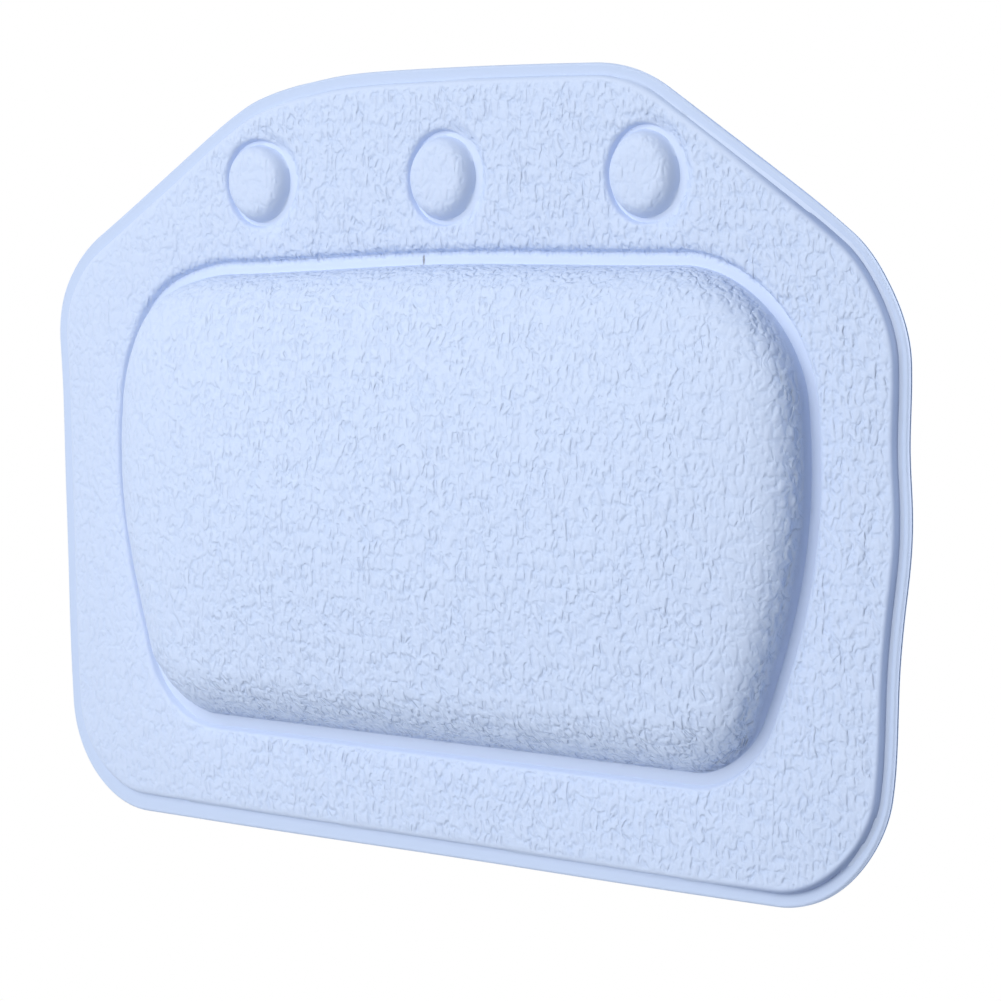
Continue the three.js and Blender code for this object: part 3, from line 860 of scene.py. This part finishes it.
def turned(name, profile, bevel, closed=False):
    """A body turned about the Y axis from [radius, y] pairs; closed profiles come round again."""
    deselect_all()
    radius, level = profile[0]
    bpy.ops.mesh.primitive_circle_add(
        vertices=ROUND_STEPS, radius=radius, location=(0, level, 0), rotation=(math.pi / 2, 0, 0)
    )
    piece = bpy.context.object
    piece.name = piece.data.name = name
    bpy.ops.object.transform_apply(location=True, rotation=True, scale=True)
    bpy.ops.object.mode_set(mode="EDIT")
    bpy.ops.mesh.select_all(action="SELECT")
    for next_radius, next_level in profile[1:]:
        bpy.ops.mesh.extrude_edges_move()
        share = next_radius / radius
        bpy.ops.transform.resize(value=(share, 1, share))
        bpy.ops.transform.translate(value=(0, next_level - level, 0))
        radius, level = next_radius, next_level
    bpy.ops.mesh.select_all(action="SELECT")
    bpy.ops.mesh.remove_doubles(threshold=1e-6)
    if not closed:
        bpy.ops.mesh.select_all(action="DESELECT")
        bpy.ops.mesh.select_non_manifold()
        bpy.ops.mesh.fill_holes(sides=0)
    bpy.ops.mesh.select_all(action="SELECT")
    bpy.ops.mesh.normals_make_consistent(inside=False)
    bpy.ops.object.mode_set(mode="OBJECT")
    edge = piece.modifiers.new("softened_edges", "BEVEL")
    edge.width = bevel
    edge.segments = 2
    edge.limit_method = "ANGLE"
    edge.angle_limit = math.radians(40)
    bpy.ops.object.modifier_apply(modifier=edge.name)
    return piece


def copied_to(piece, name, x, body, node):
    """A copy of a finished piece with its own mesh, moved along X to a button."""
    copy = bpy.data.objects.new(name, piece.data.copy())
    bpy.context.scene.collection.objects.link(copy)
    copy.data.transform(Matrix.Translation((x, 0, 0)))
    shaded(copy, 35)
    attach(copy, body)
    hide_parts(node)
    return copy


# %% [markdown]
# ## Suction cups
# Each cup is one moulding of clear soft vinyl: a thin bell with a flat lip, a boss that meets the
# back sheet, a neck through it and a mushroom head inside. A tab at the lip lets a finger peel
# it off. The profile runs from the middle of the hollow, over the lip, to the top of the head.

# %% Build the suction cup
CUP_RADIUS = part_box("suction_cup_middle")[1].x
CUP_EDGE = 0.3 * MM  # rounding of the lip
CUP_BEVEL = 0.12 * MM
CUP_MOUTH = CUP_RADIUS - 1.4 * MM
CUP_LIP = 0.9 * MM
CUP_HOLLOW = 8.4 * MM
CUP_DEPTH = 12 * MM
BOSS_RADIUS = 6.4 * MM
BOSS_HEIGHT = 2.2 * MM
NECK_RADIUS = 3 * MM
HEAD_RADIUS = 5.5 * MM
HEAD_THICKNESS = 1.2 * MM
NECK_END = CUP_DEPTH + 2.3 * MM
BELL_STEPS = 12


def bell(radius, rise):
    """Rings of a bell from near its middle to its edge, as radius and rise."""
    share = np.linspace(0.06, 1, BELL_STEPS)
    return [(radius * s, rise * (1 - s**2.2) ** 0.85) for s in share]


hollow = [(r, -h) for r, h in bell(CUP_MOUTH, CUP_HOLLOW)]
bell_rise = CUP_DEPTH - BOSS_HEIGHT - CUP_LIP
outer_rings = reversed(bell(CUP_RADIUS - 0.4 * MM, bell_rise))
outside_bell = [(r, -CUP_LIP - h) for r, h in outer_rings if r > BOSS_RADIUS]
shoulder = -(CUP_DEPTH - BOSS_HEIGHT) + CUP_EDGE
cup_profile = [
    *hollow,
    (CUP_RADIUS - CUP_EDGE, 0),
    (CUP_RADIUS, -CUP_EDGE),
    (CUP_RADIUS, -CUP_LIP + 0.2 * MM),
    *outside_bell,
    (BOSS_RADIUS, shoulder),
    (BOSS_RADIUS, -CUP_DEPTH),
    (NECK_RADIUS, -CUP_DEPTH),
    (NECK_RADIUS, -NECK_END),
    (HEAD_RADIUS, -NECK_END),
    (HEAD_RADIUS, -NECK_END - HEAD_THICKNESS / 2),
    (HEAD_RADIUS * 0.8, -NECK_END - HEAD_THICKNESS * 0.9),
    (HEAD_RADIUS * 0.4, -NECK_END - HEAD_THICKNESS),
    (HEAD_RADIUS * 0.1, -NECK_END - HEAD_THICKNESS),
]
cup = turned("cup_moulding", cup_profile, CUP_BEVEL)
print("cup", len(cup.data.polygons), "faces")

# %% Build the peeling tab and join it to the cup
TAB_WIDTH = 9 * MM
TAB_END = CUP_RADIUS + 6 * MM
TAB_START = CUP_RADIUS - 1.2 * MM
TAB_THICKNESS = 0.5 * MM
TAB_LEVEL = -0.45 * MM
TAB_CORNER = 4.4 * MM
TAB_GRIP = 1 * MM  # width of the border round the hollow for a finger
TAB_HOLLOW = 0.14 * MM

deselect_all()
bpy.ops.mesh.primitive_cube_add(size=1, location=(0, TAB_LEVEL, -(TAB_START + TAB_END) / 2))
tab = bpy.context.object
tab.scale = (TAB_WIDTH, TAB_THICKNESS, TAB_END - TAB_START)
bpy.ops.object.transform_apply(location=True, rotation=True, scale=True)
form = bmesh.new()
form.from_mesh(tab.data)
ends = [
    e for e in form.edges
    if all(v.co.z < -TAB_END + MM for v in e.verts) and abs(e.verts[0].co.x - e.verts[1].co.x) < MM
]
bmesh.ops.bevel(form, geom=ends, offset=TAB_CORNER, segments=10, profile=0.5, affect="EDGES")
broad_face = max(form.faces, key=lambda f: -f.calc_center_median().y * f.calc_area())
bmesh.ops.inset_region(form, faces=[broad_face], thickness=TAB_GRIP, depth=0)
bmesh.ops.translate(form, verts=broad_face.verts, vec=(0, TAB_HOLLOW, 0))
form.to_mesh(tab.data)
form.free()
join = cup.modifiers.new("tab", "BOOLEAN")
join.operation = "UNION"
join.solver = "EXACT"
join.object = tab
bpy.context.view_layer.objects.active = cup
bpy.ops.object.modifier_apply(modifier=join.name)
bpy.data.objects.remove(tab)
cups = []
for side, x in CUP_XS.items():
    node = f"suction_cup_{side}"
    cups.append(copied_to(cup, node + "_moulding", x, f"cup_{side}", node))
bpy.data.objects.remove(cup)
print("cups", [c.name for c in cups])

# %% Build the washers and the discs of foam
WASHER_RADIUS = 8.5 * MM
WASHER_THICKNESS = 0.6 * MM
NECK_ROOM = NECK_RADIUS + GAP
PAD_RADIUS = BUTTON_RADIUS - BUTTON_SHIFT - UNDER
PAD_RINGS = (0.97, 0.93, 0.85, 0.7, 0.5, 0.25, 0.06)  # shares of its radius
BEAD_WIDTH = 0.3 * MM  # step from the washer's raised edges down to its face
BEAD_HEIGHT = 0.12 * MM

washer_top = PLANE - WASHER_THICKNESS
washer_profile = [
    (NECK_ROOM, PLANE),
    (WASHER_RADIUS - 0.1 * MM, PLANE),
    (WASHER_RADIUS, PLANE - 0.1 * MM),
    (WASHER_RADIUS, washer_top),
    (WASHER_RADIUS - 1 * MM, washer_top),
    (WASHER_RADIUS - 1 * MM - BEAD_WIDTH, washer_top + BEAD_HEIGHT),
    (NECK_ROOM + 0.6 * MM + BEAD_WIDTH, washer_top + BEAD_HEIGHT),
    (NECK_ROOM + 0.6 * MM, washer_top),
    (NECK_ROOM, washer_top),
    (NECK_ROOM, PLANE),
]
washer = turned("washer", washer_profile, 0.05 * MM, closed=True)

over_washer = washer_top - GAP
over_head = over_washer - HEAD_THICKNESS - GAP
pad_rise = BUTTON_RISE - 2 * UNDER
pad_profile = [
    (0.5 * MM, over_head),
    (HEAD_RADIUS + GAP, over_head),
    (HEAD_RADIUS + GAP, over_washer),
    (PAD_RADIUS, over_washer),
    *((PAD_RADIUS * s, PLANE - UNDER - pad_rise * (1 - s**BUTTON_POWER)) for s in PAD_RINGS),
]
pad = turned("pad", pad_profile, 0.1 * MM)
washers, pads = [], []
for side, x in CUP_XS.items():
    node = f"cup_washer_{side}"
    washers.append(copied_to(washer, node + "_ring", x, "pillow", node))
    pads.append(copied_to(pad, f"button_foam_{side}", x, "pillow", f"button_pad_{side}"))
bpy.data.objects.remove(washer)
bpy.data.objects.remove(pad)
print("washers and pads", len(washers) + len(pads))

# %% [markdown]
# ## Shader arithmetic
# Materials here are sums and products of fields. A small class wraps a socket so that they can be
# written as such: arithmetic on it adds Math nodes. Everything else comes from one method that
# takes a node's type, its settings and its inputs.


# %% Helpers for materials
class Field:
    """A value that varies over a surface."""

    def __init__(self, finish, socket):
        self.finish = finish
        self.socket = socket

    def math(self, operation, *others):
        return self.finish.node("ShaderNodeMath", {"operation": operation}, [self, *others])

    def __add__(self, other):
        return self.math("ADD", other)

    __radd__ = __add__

    def __mul__(self, other):
        return self.math("MULTIPLY", other)

    __rmul__ = __mul__

    def __sub__(self, other):
        return self.math("SUBTRACT", other)

    def __rsub__(self, other):
        return self.finish.node("ShaderNodeMath", {"operation": "SUBTRACT"}, [other, self])

    def __truediv__(self, other):
        return self.math("DIVIDE", other)

    def __pow__(self, other):
        return self.math("POWER", other)

    def ramp(self, start, end, first=0.0, last=1.0):
        """From first where the value is start to last where it is end, eased."""
        settings = {"interpolation_type": "SMOOTHSTEP"}
        return self.finish.node("ShaderNodeMapRange", settings, [self, start, end, first, last])

    def line(self, width):
        """One where the value is zero, falling off within width to both sides."""
        return (0 - (self / width) ** 2).math("EXPONENT")


class Finish:
    """A material with a Principled shader, built node by node."""

    def __init__(self, name, **constants):
        self.material = bpy.data.materials.new(name)
        self.material.use_nodes = True
        self.tree = self.material.node_tree
        self.shader = self.tree.nodes["Principled BSDF"]
        for socket, value in constants.items():
            self.shader.inputs[socket.replace("_", " ")].default_value = value

    def node(self, kind, settings=None, inputs=(), output=None):
        """Adds a node; inputs are listed in its order of sockets, or named."""
        made = self.tree.nodes.new(kind)
        for key, value in (settings or {}).items():
            setattr(made, key, value)
        sockets = [s for s in made.inputs if s.enabled]
        if isinstance(inputs, dict):
            fed = [(next(s for s in sockets if s.name == key), inputs[key]) for key in inputs]
        else:
            fed = zip(sockets, inputs)
        for socket, value in fed:
            if isinstance(value, Field):
                self.tree.links.new(value.socket, socket)
            else:
                socket.default_value = value
        outputs = [s for s in made.outputs if s.enabled and (output is None or s.name == output)]
        return Field(self, outputs[0])

    def place(self, scale=(1, 1, 1)):
        """Object coordinates, scaled."""
        source = self.node("ShaderNodeTexCoord", output="Object")
        return self.node("ShaderNodeMapping", {}, {"Vector": source, "Scale": scale})

    def noise(self, place, scale, detail=2.0, distortion=0.0):
        """Noise with scale cells in a metre."""
        inputs = {"Vector": place, "Scale": scale, "Detail": detail, "Distortion": distortion}
        return self.node("ShaderNodeTexNoise", {}, inputs)

    def warped(self, place, at, scale, reach):
        """Coordinates that wander by reach, after a noise at other coordinates."""
        inputs = {"Vector": at, "Scale": scale, "Detail": 0.0}
        source = self.node("ShaderNodeTexNoise", {}, inputs, "Color")
        settings = {"operation": "MULTIPLY_ADD"}
        return self.node("ShaderNodeVectorMath", settings, [source, reach, place])

    def blend(self, factor, first, second):
        """A mix of two colours."""
        inputs = {"Factor": factor, "A": first, "B": second}
        return self.node("ShaderNodeMix", {"data_type": "RGBA"}, inputs, "Result")

    def attribute(self, name):
        """A field that is kept on the mesh."""
        return self.node("ShaderNodeAttribute", {"attribute_name": name}, (), "Fac")

    def give(self, **inputs):
        """Feeds sockets of the shader."""
        for name, field in inputs.items():
            self.tree.links.new(field.socket, self.shader.inputs[name.replace("_", " ")])

    def relief(self, height):
        """Bumps from a height in metres."""
        inputs = {"Strength": 1.0, "Distance": 1.0, "Height": height}
        return self.node("ShaderNodeBump", {}, inputs)

    def on(self, *pieces):
        """Covers pieces with the material."""
        for piece in pieces:
            piece.data.materials.clear()
            piece.data.materials.append(self.material)


# %% [markdown]
# ## Embossed vinyl
# The skin is a soft matte vinyl in pale blue. The material reads from the mesh how strongly the
# grain shows. It draws the furrows along the edges of warped cells, fades them out here and there,
# and adds short strokes and fine creases. The furrows and strokes get painted shade, darker than
# the pebbles. Other fields of the mesh say where the skin is stretched and paler, where the rim's
# weld is, and where shade is painted along a foot. The welds stay smooth and a little glossier.

# %% Material of the front skin
VINYL = (0.575, 0.675, 0.888, 1)
VINYL_STRETCHED = (0.60, 0.705, 0.925, 1)  # over the headrest, where the sheet is drawn thin
# painted shade in the furrows and strokes of the grain
VINYL_FURROW_SHADE = (0.45, 0.58, 0.87, 1)
VINYL_WELD = (0.57, 0.665, 0.87, 1)
VINYL_FLANGE = (0.515, 0.615, 0.825, 1)
# painted shade along the feet of the right and lower sides, where little light comes
VINYL_FOOT_SHADE = (0.27, 0.35, 0.56, 1)
SPECK = (0.25, 0.27, 0.33, 1)
GROOVES = 390.0  # cells of the grain in a metre, as in all the scales below
STROKES = 600.0
BREAKS = 420.0
CREASES = 900.0
PORES = 5200.0
CLOUDS = 22.0
SPECKS = 42.0
WARPS = ((150.0, 3 * MM), (600.0, 0.8 * MM))  # scale and reach
WARP_TALL = 0.4  # share of that reach along the height
GROOVE_DEPTH = 0.43 * MM
STROKE_DEPTH = 0.16 * MM
CREASE_DEPTH = 0.07 * MM
PORE_DEPTH = 0.004 * MM
CRACK = (-8.5 * MM, FOOT + 175.6 * MM)  # place of a short crack in the weld, seen from the front
CRACK_SIZE = (0.3 * MM, 2.1 * MM)
CRACK_WANDER = 1 * MM

front = Finish("embossed_vinyl", Roughness=0.6, Specular_IOR_Level=0.35)
shown = front.attribute("grain_amount")
place = front.place()
tall = front.place((1, 1, 0.8))
bent = front.place((1, 1, 0.55))
for scale, reach in WARPS:
    bent = front.warped(bent, tall, scale, (reach, reach, WARP_TALL * reach))
inputs = {"Vector": bent, "Scale": GROOVES, "Randomness": 0.65}
edge = front.node("ShaderNodeTexVoronoi", {"feature": "DISTANCE_TO_EDGE"}, inputs, "Distance")
groove = 1 - edge.ramp(0, 0.46)
broken = front.noise(place, BREAKS, 1.0).ramp(0.38, 0.6, 0.25, 1.0)
valley = groove * groove * broken * shown
scale, reach = WARPS[0]
slender = front.warped(front.place((1, 1, 0.45)), tall, scale, (reach, reach, WARP_TALL * reach))
stroke = (1 - front.noise(slender, STROKES, 0.0).ramp(0.33, 0.55)) * shown
creases = front.noise(tall, CREASES, 1.0)
pores = front.noise(place, PORES, 1.0)
height = creases * shown * CREASE_DEPTH - valley * GROOVE_DEPTH
height = height - stroke * STROKE_DEPTH + pores * PORE_DEPTH
smooth = 1 - shown.math("MINIMUM", 1.0)
cloudy = front.noise(place, CLOUDS, 2.0).ramp(0.35, 0.7, 0.0, 0.3)
colour = front.blend(front.attribute("stretched"), VINYL, VINYL_STRETCHED)
colour = front.blend(cloudy.math("MAXIMUM", smooth), colour, VINYL_WELD)
colour = front.blend(front.attribute("flange"), colour, VINYL_FLANGE)
# paints shade into the furrows and strokes, more where the grain shows
colour = front.blend((valley * 0.26 + stroke * 0.1).math("MINIMUM", 0.5), colour, VINYL_FURROW_SHADE)
# paints shade along the feet of the border and of the headrest
colour = front.blend(front.attribute("crease"), colour, VINYL_FOOT_SHADE)
across, up = (front.node("ShaderNodeSeparateXYZ", {}, [place], axis) for axis in "XZ")
wander = (front.noise(place, CREASES, 1.0) - 0.5) * CRACK_WANDER
crack = (across - CRACK[0] + wander).line(CRACK_SIZE[0]) * (up - CRACK[1]).line(CRACK_SIZE[1])
colour = front.blend((crack * smooth * 2.4).math("MINIMUM", 1.0), colour, SPECK)
specks = front.node("ShaderNodeTexVoronoi", {}, {"Vector": place, "Scale": SPECKS}, "Distance")
colour = front.blend(specks.ramp(0.008, 0.014, 0.6, 0.0), colour, SPECK)
front.give(
    Base_Color=colour,
    Roughness=pores.ramp(0.3, 0.7, 0.56, 0.66) - smooth * 0.08,
    Normal=front.relief(height),
)
front.on(front_cover)

# %% Material of the back sheet
PLAIN_VINYL = ((0.52, 0.655, 0.91, 1), (0.49, 0.625, 0.885, 1))
back = Finish("plain_vinyl", Roughness=0.5, Specular_IOR_Level=0.4)
place = back.place()
pores = back.noise(place, 1400.0, 3.0)
drift = back.noise(place, 30.0, 2.0)
back.give(
    Base_Color=back.blend(drift.ramp(0.3, 0.7), *PLAIN_VINYL),
    Roughness=pores.ramp(0.3, 0.7, 0.44, 0.58),
    Normal=back.relief(pores * (0.05 * MM) + drift * (0.4 * MM)),
)
back.on(back_cover)

# %% Material of the sponge
SPONGE_AND_HOLE_SHADE = ((0.86, 0.83, 0.72, 1), (0.6, 0.56, 0.45, 1))  # between its holes, and darker in them as painted shade
sponge = Finish("sponge", Roughness=0.95, Specular_IOR_Level=0.2)
place = sponge.place()
inputs = {"Vector": place, "Scale": 1100.0}
cell = sponge.node("ShaderNodeTexVoronoi", {"feature": "F1"}, inputs, "Distance")
hole = cell.ramp(0.1, 0.5, 1.0, 0.0)
patch = sponge.noise(place, 260.0, 3.0)
sponge.give(
    # the holes are darkened with painted shade
    Base_Color=sponge.blend(hole * 0.7, *SPONGE_AND_HOLE_SHADE),
    Roughness=patch.ramp(0.3, 0.7, 0.88, 1.0),
    Normal=sponge.relief(hole * (-0.3 * MM) + patch * (0.2 * MM)),
)
sponge.on(headrest_core, border_padding, *pads)

# %% Materials of the washers and the cups
STIFF_VINYL = ((0.76, 0.79, 0.8, 1), (0.70, 0.74, 0.76, 1))
stiff = Finish("washer_vinyl", Roughness=0.45)
flow = stiff.noise(stiff.place(), 400.0, 2.0, 1.5)
stiff.give(
    Base_Color=stiff.blend(flow.ramp(0.35, 0.65), *STIFF_VINYL),
    Roughness=flow.ramp(0.3, 0.7, 0.38, 0.52),
    Normal=stiff.relief(flow * (0.04 * MM)),
)
stiff.on(*washers)

CLEAR_VINYL = ((0.90, 0.94, 0.96, 1), (0.84, 0.90, 0.94, 1))
clear = Finish("clear_vinyl", Roughness=0.12, Transmission_Weight=0.92, IOR=1.47)
place = clear.place()
flow = clear.noise(place, 160.0, 2.0, 1.2)
dust = clear.noise(place, 2600.0, 2.0)
clear.give(
    Base_Color=clear.blend(flow.ramp(0.3, 0.7), *CLEAR_VINYL),
    Roughness=dust.ramp(0.35, 0.75, 0.08, 0.2),
    Normal=clear.relief(flow * (0.1 * MM) + dust * (0.006 * MM)),
)
clear.on(*cups)
print("materials", len(bpy.data.materials))

# %% [markdown]
# ## Light, floor and camera
# The photograph is lit by large soft lights from the upper left, and its ground is white. The
# world is white to the camera and dimmer to the object, and a pale floor lies well under the
# pillow, which hangs. The camera stands to the object's right, nearly level, about a metre away.

# %% Light the scene
LIGHT_CENTRE = Vector((0, PLANE, FOOT + 115 * MM))
WHITE = (1, 1, 1)
LAMPS = [  # name, place from the middle of the pillow and side, in metres, power and colour
    ("key", (-0.37, -1.30, 0.62), 1.5, 25.2, (1, 0.99, 0.965)),
    ("front_fill", (0.9, -1.4, 0.1), 1.2, 1.6, WHITE),
    ("back_rim", (1.3, 0.55, 0.45), 0.8, 20, WHITE),
]
SKY = [  # strength and colour, for the light on the object and for what the camera sees
    (0.2, (0.88, 0.97, 1.1)),
    (1.0, WHITE),
]


def softbox(name, place, size, power, colour):
    """A square lamp at a place, aimed at the middle of the pillow."""
    lamp = bpy.data.lights.new(name, "AREA")
    lamp.shape = "SQUARE"
    lamp.size = size
    lamp.energy = power
    lamp.color = colour
    holder = bpy.data.objects.new(name, lamp)
    holder.location = LIGHT_CENTRE + Vector(place)
    holder.rotation_euler = (-Vector(place)).to_track_quat("-Z", "Y").to_euler()
    bpy.context.scene.collection.objects.link(holder)


for lamp in LAMPS:
    softbox(*lamp)

world = bpy.data.worlds.new("studio")
bpy.context.scene.world = world
world.use_nodes = True
tree = world.node_tree
tree.nodes.clear()
path = tree.nodes.new("ShaderNodeLightPath")
seen = path.outputs["Is Camera Ray"]
for ray in ("Is Transmission Ray", "Is Glossy Ray"):
    either = tree.nodes.new("ShaderNodeMath")
    either.operation = "MAXIMUM"
    tree.links.new(seen, either.inputs[0])
    tree.links.new(path.outputs[ray], either.inputs[1])
    seen = either.outputs[0]
mix = tree.nodes.new("ShaderNodeMixShader")
tree.links.new(seen, mix.inputs[0])
for socket, (strength, colour) in zip(mix.inputs[1:], SKY):
    sky = tree.nodes.new("ShaderNodeBackground")
    sky.inputs["Strength"].default_value = strength
    sky.inputs["Color"].default_value = (*colour, 1)
    tree.links.new(sky.outputs[0], socket)
out = tree.nodes.new("ShaderNodeOutputWorld")
tree.links.new(mix.outputs[0], out.inputs[0])

# %% Lay the floor
FLOOR_SIZE = 900 * MM
FLOOR_DROP = 350 * MM  # under the pillow's foot
deselect_all()
bpy.ops.mesh.primitive_plane_add(size=FLOOR_SIZE, location=(0, 0, FOOT - FLOOR_DROP))
floor = bpy.context.object
floor.name = "floor"
pale = Finish("pale_floor", Roughness=0.8)
grey = pale.noise(pale.place(), 3.0)
pale.give(Base_Color=pale.blend(grey, (0.9, 0.9, 0.9, 1), (0.93, 0.93, 0.93, 1)))
pale.on(floor)

# %% Set the camera
FOCUS_Z = FOOT + 128.9 * MM  # height on the pillow that the camera's turn is measured from
ROLL, TILT, TURN = (math.radians(angle) for angle in (0.45, 3.44, 41.15))
FOCUS_PLACE = (-16.89, -24.41, 998.47)  # right, down and away from the camera, in mm
SENSOR = 36  # mm, as is the lens
LENS = 123.08

turned_by = (
    Matrix.Rotation(ROLL, 3, "Z") @ Matrix.Rotation(TILT, 3, "X") @ Matrix.Rotation(TURN, 3, "Y")
)
stand = turned_by.transposed() @ -Vector(FOCUS_PLACE) * MM


def to_frame(v):
    """A direction from the camera's axes (right, down, away) to the frame's."""
    return Vector((v[0], v[2], -v[1]))


right, down, away = (to_frame(row) for row in turned_by)
camera = bpy.data.objects.new("camera", bpy.data.cameras.new("camera"))
camera.data.sensor_width = SENSOR
camera.data.lens = LENS
place = to_frame(stand) + Vector((-TRIM_SHIFT, PLANE, FOCUS_Z))
axes = Matrix((right, -down, -away)).transposed()
camera.matrix_world = Matrix.Translation(place) @ axes.to_4x4()
bpy.context.scene.collection.objects.link(camera)
bpy.context.scene.camera = camera
bpy.context.scene.view_settings.view_transform = "Standard"
print("camera at", [round(c, 3) for c in place])
